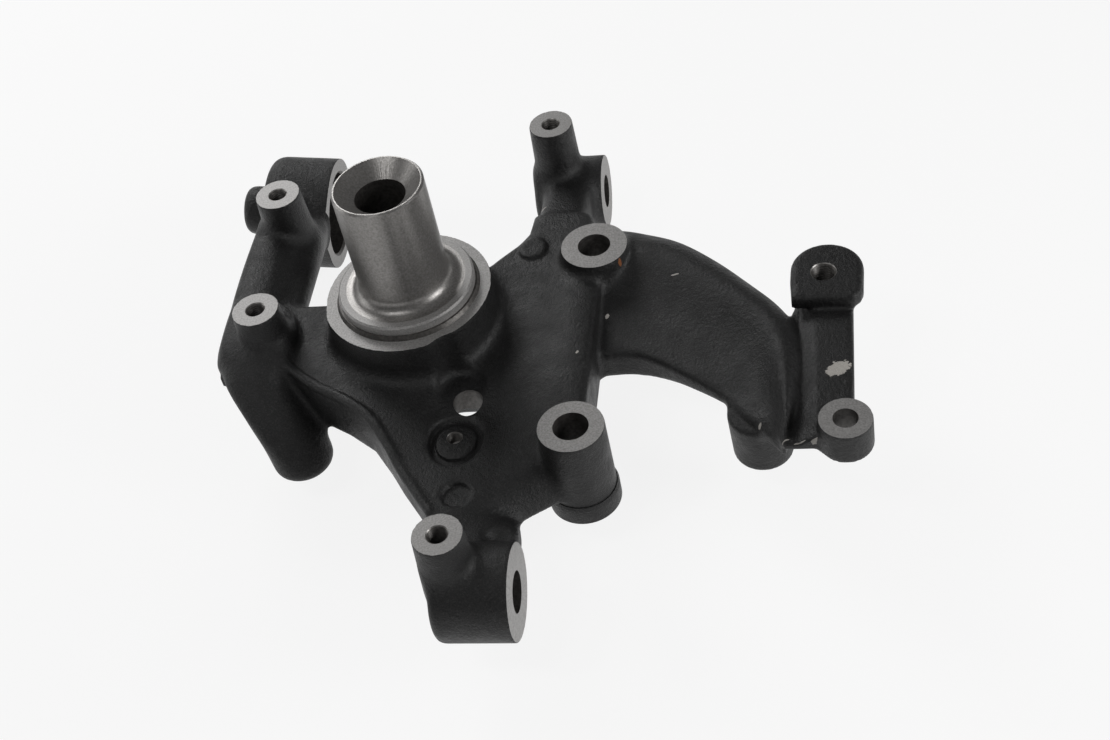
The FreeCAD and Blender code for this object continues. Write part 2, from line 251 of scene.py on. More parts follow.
# Three cast pads lie on the web: an oval one inside a groove, a round one sunk into the web in front of
# it, and a raised round one by the rear arm. They are left as cast.
def cone(cx, cy, z0, r0, z1, r1, edge=1.5):
    # an upright round body that tapers from r0 at z0 to r1 at z1
    widest = max(r0, r1)
    lean = (r0 - r1) / (z1 - z0)

    def shape(x, y, z):
        d = (np.hypot(x - cx, y - cy) - r0 + lean * (z - z0)) / math.hypot(1.0, lean)
        return soft_max(soft_max(d, z - z1, 2 * edge), z0 - z, 2 * edge)
    return ((cx - widest, cy - widest, z0), (cx + widest, cy + widest, z1)), shape


OVAL_X, OVAL_Y = 33.6, -85.6
OVAL_HALF_X, OVAL_HALF_Y = 12.9, 15.0
OVAL_TOP = -38.3
GROOVE_FLOOR = -40.6
GROOVE_HALF_WIDTH = 1.9
SUNK_X, SUNK_Y, SUNK_R = 38.7, -122.0, 7.5
SUNK_FLOOR = -40.4
oval_box = ((18, -104, -46), (50, -68, -30))
sunk_box = ((30, -131, -46), (48, -113, -30))


def oval(x, y):
    mean_half = 13.9
    return (np.sqrt(((x - OVAL_X) / OVAL_HALF_X) ** 2 + ((y - OVAL_Y) / OVAL_HALF_Y) ** 2) - 1.0) * mean_half


def oval_groove(x, y, z):
    return np.maximum(np.abs(oval(x, y)) - GROOVE_HALF_WIDTH, GROOVE_FLOOR - z)


def over_oval_pad(x, y, z):
    return np.maximum(oval(x, y), OVAL_TOP - z)


def over_sunk_pad(x, y, z):
    return np.maximum(np.hypot(x - SUNK_X, y - SUNK_Y) - SUNK_R, SUNK_FLOOR - z)


carve(oval_box, oval_groove, 2.4)
carve(oval_box, over_oval_pad, 0.8)
carve(sunk_box, over_sunk_pad, 1.6)
add(*cone(62, 48, -30, 8.3, -23.2, 8.0, edge=1.0), 1.5)


# The rear arm ends in a cross-bored lug with a tapped pad on its top. Like all the lugs, it is a short
# round bar along X, and its pad is a tapered stub that is faced and tapped after casting.
def rod(x0, x1, cy, cz, radius, edge=3.0, lean=0.0, pivot=0.0):
    # a round bar along X; lean turns its axis down to the right about the pivot
    c, s = math.cos(lean), math.sin(lean)

    def shape(x, y, z):
        along = pivot + (x - pivot) * c - (z - cz) * s
        off = (x - pivot) * s + (z - cz) * c
        d = np.hypot(y - cy, off) - radius
        return soft_max(soft_max(d, along - x1, 1.0), x0 - along, 2 * edge)
    return ((x0, cy - radius, cz - radius), (x1, cy + radius, cz + radius)), shape


def tapped_stub(pad, foot_z, foot_r, fillet):
    x, y, top_r = pad
    cast_top = 1.2
    add(*cone(x, y, foot_z, foot_r, cast_top, top_r, edge=1.0), fillet)


REAR_LUG_Y, REAR_LUG_Z = 133.0, -54.5
REAR_LUG_LEFT, REAR_LUG_RIGHT = 52.0, 94.6
REAR_PAD = (67.3, 132.5, 13.0)
REAR_ARM_OUTLINE = [(58.5, 55), (59.5, 82), (59.5, 104), (57, 130), (88, 130), (88.5, 104), (90, 82),
                    (95, 55)]


def rear_arm_top(x, y):
    return -26.0 - 0.105 * np.clip(y - 60, 0, 70)


add(*plate(REAR_ARM_OUTLINE, rear_arm_top, -60.0, edge=5.0), 8.0)
add(*rod(REAR_LUG_LEFT, REAR_LUG_RIGHT, REAR_LUG_Y, REAR_LUG_Z, 22.3, 3.0), 8.0)
tapped_stub(REAR_PAD, -52, 14.6, 7.0)


# The left arm runs back to the large left lug, which leans 7 degrees and has a round nub on its outer
# end. The arm is crowned, its underside slopes up on the inner side, and a scoop runs down its right flank.
def crowned_arm(stations, crown, edge=3.0):
    # stations along the arm: centre x and y, half width, bottom and lift; crown: share across and height
    path = smooth(stations, 12)
    across = smooth(crown, 10)
    last = len(path) - 1

    def shape(x, y, z):
        px, py = np.broadcast_arrays(x[:, :, 0], y[:, :, 0])
        best = np.full(px.shape, 1e9)
        aside = np.zeros(px.shape)
        along = np.zeros(px.shape)
        for i, (a, b) in enumerate(zip(path[:-1], path[1:])):
            e = b[:2] - a[:2]
            length = math.hypot(*e)
            u = ((px - a[0]) * e[0] + (py - a[1]) * e[1]) / (length * length)
            if i > 0:
                u = np.maximum(u, 0)
            if i < last - 1:
                u = np.minimum(u, 1)
            dx, dy = px - a[0] - u * e[0], py - a[1] - u * e[1]
            d = np.hypot(dx, dy)
            nearer = d < best
            best = np.where(nearer, d, best)
            aside = np.where(nearer, d * np.sign(e[0] * dy - e[1] * dx), aside)
            along = np.where(nearer, i + u, along)
        half, bottom, lift = (np.interp(along, np.arange(last + 1), path[:, i]) for i in (2, 3, 4))
        share = np.clip((aside / half + 1.0) * 0.5, 0, 1)
        top = np.interp(share, across[:, 0], across[:, 1]) + lift
        past_end = np.maximum(-along, along - last) * 3.0
        d = np.maximum(np.abs(aside) - half, past_end)[:, :, None]
        d = soft_max(soft_max(d, z - top[:, :, None], 2 * edge), bottom[:, :, None] - z, 2 * edge)
        return d.astype(np.float32)
    widest = path[:, 2].max()
    low = (path[:, 0].min() - widest, path[:, 1].min() - widest, path[:, 3].min())
    high = (path[:, 0].max() + widest, path[:, 1].max() + widest, across[:, 1].max() + 6)
    return (low, high), shape


def egg(centre, radii, spread):
    return lambda x, y, z: (np.sqrt(((x - centre[0]) / radii[0]) ** 2 + ((y - centre[1]) / radii[1]) ** 2
                                    + ((z - centre[2]) / radii[2]) ** 2) - 1.0) * spread


LEFT_LUG_LEAN = math.radians(7.0)
LEFT_LUG_PIVOT = -130.0
LEFT_LUG_Y, LEFT_LUG_Z = 133.0, -54.5
LEFT_REAR_PAD = (-93.2, 81.1, 13.3)
LEFT_FRONT_PAD = (-83.3, -18.1, 13.2)
LEFT_ARM_STATIONS = [(-90, -32, 22.5, -52, 0), (-91.5, 25, 24.5, -52, 0), (-93, 70, 23, -56, 0),
                     (-97, 112, 18.5, -66, -2.5)]
LEFT_ARM_CROWN = [(0, -35), (0.12, -32), (0.28, -28), (0.4, -23.5), (0.52, -20), (0.7, -18.5), (0.86, -20),
                  (0.95, -25), (1, -33)]
left_arm_box, left_arm_body = crowned_arm(LEFT_ARM_STATIONS, LEFT_ARM_CROWN, edge=4.0)


def left_arm(x, y, z):
    across, up = -69.0, 36.0
    under = ((x + 65.0) * across + (z + 26.0) * up) / math.hypot(up, across)
    return soft_max(left_arm_body(x, y, z), -under, 8.0)


add(left_arm_box, left_arm, 6.0)
add(*rod(-123.6, -79.6, LEFT_LUG_Y, LEFT_LUG_Z, 35.0, 5.0, LEFT_LUG_LEAN, LEFT_LUG_PIVOT), 7.0)
add(*rod(-140.6, -115.0, LEFT_LUG_Y, LEFT_LUG_Z, 15.5, 3.5, LEFT_LUG_LEAN, LEFT_LUG_PIVOT), 4.0)
carve(((-84, 18, -34), (-60, 72, -12)), egg((-69.5, 45, -20.0), (12.0, 26.0, 8.5), 9.5), 1.5)
tapped_stub(LEFT_REAR_PAD, -30, 15.0, 7.0)
tapped_stub(LEFT_FRONT_PAD, -30, 14.6, 7.0)

# The leg grows out of the left arm's front end and turns down into the round left foot. Its section
# changes from a rounded block at the top to a circle at the foot.
FOOT_Y, FOOT_Z = -67.5, -72.5
LEG_EDGE = 5.0
LEG_SECTIONS = [
    (-88, -14, -21, 19, 26, 2.7), (-88, -28, -31, 19.4, 25, 2.4), (-78, -46, -44, 17.2, 22.5, 2.2),
    (-68.8, -59.5, -56, 17.2, 19, 2.0), (-64, -66.5, -66, 17.2, 17.4, 2.0),
    (-63.4, FOOT_Y, FOOT_Z, 16.8, 16.8, 2.0)]
leg_sections = smooth(LEG_SECTIONS, 8)[::-1]
leg_z = leg_sections[:, 2]


def leg(x, y, z):
    level = np.clip(z, leg_z[0], leg_z[-1])
    cx, cy, half_x, half_y, square = (np.interp(level, leg_z, leg_sections[:, i]).astype(np.float32)
                                      for i in (0, 1, 3, 4, 5))
    reach = (np.abs((x - cx) / half_x) ** square + np.abs((y - cy) / half_y) ** square) ** (1.0 / square)
    d = (reach - 1.0) * np.minimum(half_x, half_y)
    return soft_max(soft_max(d, z - leg_z[-1], LEG_EDGE), leg_z[0] - z, LEG_EDGE)


leg_low = [min(s[i] - s[i + 3] for s in LEG_SECTIONS) for i in (0, 1)] + [leg_z[0]]
leg_high = [max(s[i] + s[i + 3] for s in LEG_SECTIONS) for i in (0, 1)] + [leg_z[-1]]
add((leg_low, leg_high), leg, 8.0)

# Two round bosses take the large bolts at the web's right edge. The rear one stands low on the web, and the
# front one runs down to the height of the feet.
REAR_BOSS = (99.4, 40.4, 18.9)
FRONT_BOSS = (99.4, -97, 17.6)
BOSS_CAST_TOP = -16.0
add(*cone(REAR_BOSS[0], REAR_BOSS[1], -34, 21.0, BOSS_CAST_TOP, REAR_BOSS[2], edge=0.8), 5.0)
add(*cone(FRONT_BOSS[0], FRONT_BOSS[1], FOOT_Z, 18.1, BOSS_CAST_TOP, FRONT_BOSS[2], edge=0.8), 4.0)

# The front lug is cross-bored like the rear one and has a tapped pad. A short shelf joins it to the web,
# with a small cast hollow at the shelf's right end.
FRONT_LUG_Y, FRONT_LUG_Z = -179.5, -44.8
FRONT_PAD = (46.0, -178.6, 12.6)
SHELF_OUTLINE = [(33, -145), (70, -145), (72, -174), (42, -174)]
add(*rod(37.0, 77.5, FRONT_LUG_Y, FRONT_LUG_Z, 24.7, 2.6), 6.0)
tapped_stub(FRONT_PAD, -42, 15.2, 6.0)
add(*plate(SHELF_OUTLINE, -42.0, WEB_BOTTOM, edge=4.0), 9.0)
carve(((56, -156, -50), (74, -138, -32)), egg((65.0, -148, -39.5), (7.5, 5.5, 6.5), 5.5), 4.0)

# The right arm sweeps out from the rear bolt boss and forward beside the end plate. Its front edge is the
# thin lip of the mould's parting line, its back edge stands high, and the round right foot hangs below it.
RIGHT_ARM_EDGE = 4.0
RIGHT_ARM_FRONT = [(88, -24), (104, -26), (119, -25.5), (128, -27), (139, -33), (150, -40.6), (161, -49),
                   (169.5, -56), (177.3, -63.5), (184.8, -74), (192.8, -83.6), (199, -91), (205, -99)]
RIGHT_ARM_BACK = [(88, 66), (99, 65), (112, 64), (126, 60), (147, 51), (168.5, 33.5), (189, 12),
                  (202, -3), (210, -17), (213.5, -33), (214.2, -48), (213.2, -63), (211.5, -78), (209, -91),
                  (206.5, -99)]
RIGHT_ARM_CROWN = [(0, -39), (0.05, -38), (0.2, -36.5), (0.42, -33), (0.57, -28), (0.69, -23),
                   (0.78, -20.8), (0.88, -21.8), (1, -27)]
front_edge = smooth(RIGHT_ARM_FRONT, 6)
back_edge = smooth(RIGHT_ARM_BACK, 6)
right_crown = smooth(RIGHT_ARM_CROWN, 10)
right_outline = np.vstack([front_edge, back_edge[::-1]])


def off_edge(edge, x, y):
    best = None
    for a, b in zip(edge[:-1], edge[1:]):
        ex, ey = b - a
        t = np.clip(((x - a[0]) * ex + (y - a[1]) * ey) / (ex * ex + ey * ey), 0.0, 1.0)
        d = np.hypot(x - a[0] - t * ex, y - a[1] - t * ey)
        best = d if best is None else np.minimum(best, d)
    return best


def right_arm(x, y, z):
    to_front = off_edge(front_edge, x, y)
    to_back = off_edge(back_edge, x, y)
    share = (to_front + 0.2) / (to_front + to_back + 0.4)
    lift = np.interp(y + 0 * x, [-103, -92, -80, -62], [0, 2, 3.5, 0])
    top = np.interp(share, right_crown[:, 0], right_crown[:, 1]) + lift * (1.0 - share)
    for axis in (0, 1, 0, 1, 0, 1):
        top = 0.5 * top + 0.25 * (np.roll(top, 1, axis) + np.roll(top, -1, axis))
    bottom = np.interp(x + 0 * y, [97, 127, 150, 173, 200, 215], [-57, -57, -50.5, -46.5, -44, -42])
    d = soft_max(outline(right_outline, x, y), z - top, RIGHT_ARM_EDGE)
    return soft_max(d, bottom - z, RIGHT_ARM_EDGE).astype(np.float32)


right_arm_low = (right_outline[:, 0].min(), right_outline[:, 1].min(), -60.0)
right_arm_high = (right_outline[:, 0].max(), right_outline[:, 1].max(), right_crown[:, 1].max() + 3.0)
add((right_arm_low, right_arm_high), right_arm, 4.0)
add(*cone(192.9, FOOT_Y, FOOT_Z, 15.9, -41, 17.6, edge=1.5), 3.5)

# The end plate lies across the right arm's end, with a groove along its left side. The tapped end lug is a
# round-nosed block at its rear, on a short stub, and the small bolt boss stands at its front.
END_LUG = (227.2, 8.0, 6.6)
END_LUG_TOP = -15.5
SMALL_BOSS = (236.8, -97, 13.9)
NOSE_X, NOSE_Y, NOSE_HALF_X, NOSE_HALF_Y = 229.0, 12.2, 19.6, 19.4
END_PLATE_OUTLINE = [(203, -95), (206, -102.5), (241, -102.5), (242.5, 4), (213, 2), (206, -20)]
nose = [(NOSE_X + NOSE_HALF_X * math.cos(a), NOSE_Y + NOSE_HALF_Y * math.sin(a))
        for a in np.linspace(0.0, math.pi, 25)]
end_lug_outline = [(210, -11.5), (243, -12), (246.5, -9), (248, -5)] + nose + [(209.2, 4)]


def end_plate_top(x, y):
    return -24.0 - 5.0 * np.clip((222.0 - x) / 8.0, 0.0, 1.0)


add(*plate(END_PLATE_OUTLINE, end_plate_top, -34.5, edge=1.2), 3.0)
add(*cone(END_LUG[0], END_LUG[1], -36, 12.5, -20, 13.0, edge=1.5), 1.5)
add(*plate(end_lug_outline, END_LUG_TOP, -25.5, edge=2.0), 2.0)
add(*cone(SMALL_BOSS[0], SMALL_BOSS[1], -35.5, 13.9, BOSS_CAST_TOP, 13.6, edge=0.8), 3.0)


# The casting's skin is one closed mesh. Corners of the field that touch only across a diagonal are filled
# first, then the skin is drawn through the cells where the field changes sign, and thinned.
def fill_diagonals(field):
    barely_solid = -0.02
    solid = field < 0
    for u, v in ((1, 2), (0, 2), (0, 1)):
        corners = []
        for du in (0, 1):
            for dv in (0, 1):
                corner = [slice(None)] * 3
                corner[u] = slice(du, -1 if du == 0 else None)
                corner[v] = slice(dv, -1 if dv == 0 else None)
                corners.append(tuple(corner))
        a, b, c, d = (solid[corner] for corner in corners)
        touching = (a & d & ~b & ~c) | (b & c & ~a & ~d)
        for corner in corners:
            view = field[corner]
            view[touching] = np.minimum(view[touching], barely_solid)


def draw_skin(field):
    # surface nets: one point in each cell that the surface crosses, one four-sided face on each crossed edge
    solid = field < 0
    shape = solid.shape
    nx, ny, nz = (n - 1 for n in shape)
    offsets = [np.array((i, j, k)) for i in (0, 1) for j in (0, 1) for k in (0, 1)]
    filled = sum(solid[i:nx + i, j:ny + j, k:nz + k].astype(np.int8) for i, j, k in offsets)
    crossed = (filled > 0) & (filled < 8)
    cells = np.argwhere(crossed)
    number = np.full(crossed.shape, -1, dtype=np.int32)
    number[crossed] = np.arange(len(cells), dtype=np.int32)
    total = np.zeros((len(cells), 3))
    count = np.zeros(len(cells))
    for i, start in enumerate(offsets):
        for end in offsets[i + 1:]:
            step = end - start
            if abs(step).sum() != 1:
                continue
            value_a = field[tuple((cells + start).T)]
            value_b = field[tuple((cells + end).T)]
            change = (value_a < 0) != (value_b < 0)
            t = np.where(change, value_a / np.where(change, value_a - value_b, 1.0), 0.0)
            total += np.where(change[:, None], start + t[:, None] * step, 0.0)
            count += change
    points = cells + total / count[:, None]
    faces = []
    for axis, u, v in ((0, 1, 2), (1, 2, 0), (2, 0, 1)):
        here = [slice(None)] * 3
        there = [slice(None)] * 3
        here[axis] = slice(0, -1)
        there[axis] = slice(1, None)
        here, there = solid[tuple(here)], solid[tuple(there)]
        edge = np.argwhere(here != there)
        past_start = (edge[:, u] > 0) & (edge[:, v] > 0)
        before_end = (edge[:, u] < shape[u] - 1) & (edge[:, v] < shape[v] - 1)
        edge = edge[past_start & before_end]
        outward = here[tuple(edge.T)]
        ring = []
        for du, dv in ((-1, -1), (0, -1), (0, 0), (-1, 0)):
            cell = edge.copy()
            cell[:, u] += du
            cell[:, v] += dv
            ring.append(number[tuple(cell.T)])
        ring = np.stack(ring, 1)
        ring[~outward] = ring[~outward][:, ::-1]
        faces.append(ring)
    return points * GRID_STEP + np.array(FIELD_LOW), np.vstack(faces)


MM = 0.001
SKIN_KEPT = 0.56
for _ in range(4):
    fill_diagonals(casting)
points, faces = draw_skin(casting)
skin = bpy.data.meshes.new("knuckle_skin")
skin.from_pydata((points * MM).tolist(), [], faces.tolist())
knuckle = bpy.data.objects.new("knuckle_casting_skin", skin)
scene.collection.objects.link(knuckle)


def keep_modified(piece):
    # the piece's mesh as its modifiers leave it, in place of them
    finished = piece.evaluated_get(bpy.context.evaluated_depsgraph_get())
    piece.data = bpy.data.meshes.new_from_object(finished)
    piece.modifiers.clear()


thin = knuckle.modifiers.new("thin", "DECIMATE")
thin.ratio = SKIN_KEPT
keep_modified(knuckle)


# The casting is painted satin black over its sand texture. The paint is chipped to bare iron in a few
# places and scratched along the end plate's front edge, and one speck by the rear bolt boss is rusty.
def finish(name):
    material = bpy.data.materials.new(name)
    material.use_nodes = True
    tree = material.node_tree
    place = tree.nodes.new("ShaderNodeTexCoord").outputs["Object"]
    return material, tree, tree.nodes["Principled BSDF"], place


def shades(tree, source, stops):
    ramp = tree.nodes.new("ShaderNodeValToRGB")
    while len(ramp.color_ramp.elements) < len(stops):
        ramp.color_ramp.elements.new(0.5)
    for element, (position, (red, green, blue)) in zip(ramp.color_ramp.elements, stops):
        element.position = position
        element.color = (red, green, blue, 1.0)
    tree.links.new(source, ramp.inputs["Fac"])
    return ramp.outputs["Color"]


def noise(tree, place, scale, detail, rough=0.55):
    n = tree.nodes.new("ShaderNodeTexNoise")
    n.inputs["Scale"].default_value = scale
    n.inputs["Detail"].default_value = detail
    n.inputs["Roughness"].default_value = rough
    tree.links.new(place, n.inputs["Vector"])
    return n.outputs["Fac"]


def bump(tree, shader, height, strength, distance, before=None):
    b = tree.nodes.new("ShaderNodeBump")
    b.inputs["Strength"].default_value = strength
    b.inputs["Distance"].default_value = distance
    tree.links.new(height, b.inputs["Height"])
    if before is not None:
        tree.links.new(before, b.inputs["Normal"])
    tree.links.new(b.outputs["Normal"], shader.inputs["Normal"])
    return b.outputs["Normal"]


def math_node(tree, operation, first, second, third=None):
    # each input is a socket or a number
    node = tree.nodes.new("ShaderNodeMath")
    node.operation = operation
    for socket, value in zip(node.inputs, (first, second, third)):
        if isinstance(value, float):
            socket.default_value = value
        elif value is not None:
            tree.links.new(value, socket)
    return node.outputs[0]


def ragged_spots(tree, place, ragged, where):
    # 1 inside small ragged ovals: centre in millimetres, half length, half width and turn about Z
    depth = 3.0
    ragged_by, limit = 1.6, 1.75
    total = None
    for centre, (half_length, half_width, turn) in where:
        near = tree.nodes.new("ShaderNodeMapping")
        near.vector_type = "TEXTURE"
        near.inputs["Location"].default_value = [c * MM for c in centre]
        near.inputs["Rotation"].default_value = (0, 0, turn)
        near.inputs["Scale"].default_value = (half_length * MM, half_width * MM, depth * MM)
        tree.links.new(place, near.inputs["Vector"])
        reach = tree.nodes.new("ShaderNodeVectorMath")
        reach.operation = "LENGTH"
        tree.links.new(near.outputs["Vector"], reach.inputs[0])
        rough_reach = math_node(tree, "MULTIPLY_ADD", ragged, ragged_by, reach.outputs["Value"])
        inside = math_node(tree, "LESS_THAN", rough_reach, limit)
        total = inside if total is None else math_node(tree, "MAXIMUM", total, inside)
    return total


def colour_over(tree, mask, under, colour):
    mix = tree.nodes.new("ShaderNodeMix")
    mix.data_type = "RGBA"
    tree.links.new(mask, mix.inputs[0])
    tree.links.new(under, mix.inputs[6])
    mix.inputs[7].default_value = colour
    return mix.outputs[2]


BARE_IRON = (0.42, 0.40, 0.37, 1.0)
RUST = (0.22, 0.075, 0.022, 1.0)
LEAF_SPOT = ((233.6, -56.0, -24.0), (7.2, 4.6, 0.58))
NICKS = [((61.9, 91.3, -32.0), (2.4, 0.8, 0.4)), ((107.7, 0.7, -34.7), (1.7, 1.0, 1.4)),
         ((95.8, -36.2, -25.0), (1.4, 0.7, 1.2)), ((146.1, 20.3, -25.9), (3.0, 0.5, 0.0)),
         ((193.4, -83.1, -36.5), (1.7, 0.8, 0.8))]
SCRATCHES = [((206.6, -100.2, -29.2), (2.2, 0.35, 0.3)), ((214.0, -101.6, -29.0), (3.4, 0.3, 0.1)),
             ((221.5, -102.5, -26.6), (2.6, 0.3, 0.0))]
RUST_SPECK = ((114.8, 28.6, -20.2), (1.3, 1.3, 0.0))
black_paint, tree, shader, place = finish("black_paint")
swell = noise(tree, place, 90.0, 3.0)
sand = noise(tree, place, 420.0, 4.0, 0.7)
dust = noise(tree, place, 1300.0, 2.0, 0.5)
black = shades(tree, dust, (
    (0.35, (0.0045, 0.0045, 0.0047)), (0.6, (0.012, 0.012, 0.012)), (0.8, (0.04, 0.04, 0.039))))
bare = ragged_spots(tree, place, sand, [LEAF_SPOT] + NICKS + SCRATCHES)
chipped = colour_over(tree, bare, black, BARE_IRON)
rusted = ragged_spots(tree, place, sand, [RUST_SPECK])
rusty = colour_over(tree, rusted, chipped, RUST)
tree.links.new(rusty, shader.inputs["Base Color"])
satin = shades(tree, swell, ((0.3, (0.38, 0.38, 0.38)), (0.7, (0.56, 0.56, 0.56))))
tree.links.new(satin, shader.inputs["Roughness"])
shader.inputs["Specular IOR Level"].default_value = 0.4
relief = bump(tree, shader, swell, 0.25, 0.0014)
relief = bump(tree, shader, sand, 0.7, 0.0010, relief)
bump(tree, shader, dust, 0.6, 0.0004, relief)


# The bare iron of the cut faces is grey. Faced pads and lugs are mid grey and matt, and the turned spindle
# is brighter. The third, much darker copy of the cut iron is painted shade: it goes on the walls of the
# bores and holes, on the step at the shoulder's foot and on one flank of each thread.
def bare_iron(name, grain_scale, darkest, lightest, metallic, roughness, grain_depth):
    material, tree, shader, place = finish(name)
    grain = noise(tree, place, grain_scale, 3.0)
    tree.links.new(shades(tree, grain, ((0.3, darkest), (0.7, lightest))), shader.inputs["Base Color"])
    shader.inputs["Metallic"].default_value = metallic
    shader.inputs["Roughness"].default_value = roughness
    bump(tree, shader, grain, grain_depth, 0.0003)
    return material


machined_iron = bare_iron("machined_iron", 1100.0, (0.22, 0.215, 0.21), (0.37, 0.362, 0.355), 0.5, 0.5, 0.3)
turned_iron = bare_iron("turned_iron", 900.0, (0.19, 0.183, 0.175), (0.30, 0.29, 0.28), 0.75, 0.36, 0.2)
# a much darker copy of the cut iron, used as painted shade
shaded_iron = bare_iron("shaded_iron", 500.0, (0.05, 0.047, 0.044), (0.11, 0.104, 0.098), 0.6, 0.45, 0.3)
FINISHES = (black_paint, machined_iron, turned_iron, shaded_iron)
PAINTED, MACHINED, TURNED, SHADED = range(len(FINISHES))
for material in FINISHES:
    knuckle.data.materials.append(material)


# The pads, bosses and lugs are faced by milling. Each cutter is a round tool that takes the cast skin away
# and leaves its own finish on the iron.
def lathe(name, profile, band, centre=(0, 0, 0), along="z", sides=96, lean=0.0):
    # a closed shape turned from (radius, height) points that start and end on the axis; a third value in a
    # point is the finish of the band after it
    bm = bmesh.new()
    rings = []
    for radius, height in (p[:2] for p in profile):
        if radius == 0:
            rings.append([bm.verts.new((0, 0, height))])
        else:
            turns = [2 * math.pi * i / sides for i in range(sides)]
            circle = [(radius * math.cos(a), radius * math.sin(a), height) for a in turns]
            rings.append([bm.verts.new(p) for p in circle])
    bands = [p[2] if len(p) > 2 else band for p in profile]
    for a, b, slot in zip(rings[:-1], rings[1:], bands):
        for i in range(sides):
            k = (i + 1) % sides
            corners = list(dict.fromkeys([a[i % len(a)], a[k % len(a)], b[k % len(b)], b[i % len(b)]]))
            if len(corners) > 2:
                bm.faces.new(corners).material_index = slot
    if along == "x":
        bm.transform(Matrix.Rotation(math.pi / 2 + lean, 4, "Y"))
    bm.transform(Matrix.Translation(centre))
    bm.transform(Matrix.Scale(MM, 4))
    bmesh.ops.recalc_face_normals(bm, faces=bm.faces)
    mesh = bpy.data.meshes.new(name)
    bm.to_mesh(mesh)
    bm.free()
    for material in FINISHES:
        mesh.materials.append(material)
    return mesh


def disc(x, y, low, high, radius, band):
    return lathe("disc", [(0, low), (radius, low), (radius, high), (0, high)], band, (x, y, 0))


def cross_disc(centre, left, right, radius, band, lean=0.0):
    profile = [(0, left), (radius, left), (radius, right), (0, right)]
    return lathe("cross_disc", profile, band, centre, "x", lean=lean)


def machine(mesh, operation="DIFFERENCE"):
    tool = bpy.data.objects.new("tool", mesh)
    scene.collection.objects.link(tool)
    cut = knuckle.modifiers.new("cut", "BOOLEAN")
    cut.operation = operation
    cut.object = tool
    cut.solver = "MANIFOLD"
    keep_modified(knuckle)
    bpy.data.objects.remove(tool)


PAD_TOP = 0
BOSS_TOP = -17
FACING_OVERLAP = 2
LEFT_LUG_CENTRE = (LEFT_LUG_PIVOT, LEFT_LUG_Y, LEFT_LUG_Z)
REAR_LUG_CENTRE = (0, REAR_LUG_Y, REAR_LUG_Z)
FRONT_LUG_CENTRE = (0, FRONT_LUG_Y, FRONT_LUG_Z)
LUG_FACINGS = ((LEFT_LUG_CENTRE, 49.4, 55, 37, LEFT_LUG_LEAN), (REAR_LUG_CENTRE, 93.9, 99, 24, 0.0),
               (FRONT_LUG_CENTRE, 76.8, 82, 26, 0.0))
PADS = (LEFT_REAR_PAD, LEFT_FRONT_PAD, REAR_PAD, FRONT_PAD)
for x, y, radius in PADS:
    machine(disc(x, y, PAD_TOP, PAD_TOP + 6, radius + FACING_OVERLAP, MACHINED))
for x, y, radius in (REAR_BOSS, FRONT_BOSS, SMALL_BOSS):
    machine(disc(x, y, BOSS_TOP, BOSS_TOP + 11, radius + FACING_OVERLAP, MACHINED))
for centre, face, past_skin, radius, lean in LUG_FACINGS:
    machine(cross_disc(centre, face, past_skin, radius, MACHINED, lean))

# A cast collar stands out round the foot of the front bolt boss. Its top slopes a little, and it is painted
# with the rest of the casting.
COLLAR_R = 19.3
COLLAR_TOP = -60.4
collar = [(0, FOOT_Z), (COLLAR_R - 0.4, FOOT_Z), (COLLAR_R, FOOT_Z + 0.4), (COLLAR_R, COLLAR_TOP - 2.0),
          (COLLAR_R - 0.8, COLLAR_TOP), (0, COLLAR_TOP)]
machine(lathe("collar", collar, PAINTED, (FRONT_BOSS[0], FRONT_BOSS[1], 0)), "UNION")

# The hub is turned from the casting in one set-up: the flange is faced, then the shoulder, the neck fillet
# and the hollow spindle follow. The spindle's mouth is countersunk, and its bore goes right through.
SPINDLE_R = 25
SPINDLE_TOP = 68
NECK_R = 7
BORE_R = 13.9
FLANGE_TOP = -7.5
SHOULDER_R = 38.2
GROOVE_R = 40.5
neck = [(SPINDLE_R + NECK_R - NECK_R * math.sin(a), NECK_R - NECK_R * math.cos(a))
        for a in np.linspace(0, math.pi / 2, 13)]
# The step from the flange up to the shoulder takes the dark iron: painted shade at the shoulder's foot.
shoulder = [(0, -12, MACHINED), (GROOVE_R, -12, SHADED), (GROOVE_R, FLANGE_TOP, SHADED), (39.2, -5.4, SHADED),
            (SHOULDER_R, -5.2, MACHINED), (SHOULDER_R, -1, MACHINED), (SHOULDER_R - 1, 0, MACHINED),
            (33.5, 0, TURNED)]
spindle = [(SPINDLE_R, SPINDLE_TOP - 1), (SPINDLE_R - 1, SPINDLE_TOP), (0, SPINDLE_TOP)]
mouth = [(0, 55), (BORE_R, 60.5), (23.3, SPINDLE_TOP), (24, SPINDLE_TOP + 1), (0, SPINDLE_TOP + 1)]
machine(disc(0, 0, FLANGE_TOP, 6, 52, MACHINED))
machine(lathe("spindle", shoulder + neck + spindle, TURNED, sides=144), "UNION")
machine(lathe("mouth", mouth, TURNED, sides=144))
# The spindle's bore wall takes the dark iron, which is painted shade.
machine(disc(0, 0, -75, 62, BORE_R, SHADED))


# Bolt holes are drilled through the bosses, and the pads, the end lug and the oval pad are drilled and
# tapped. Each thread is a stack of rings: one flank of each ring takes the brighter turned iron as a painted
# highlight and the other the dark iron as painted shade, and the plain holes' walls take the dark iron too,
# as painted shade.
THREAD_DEPTH = 0.7


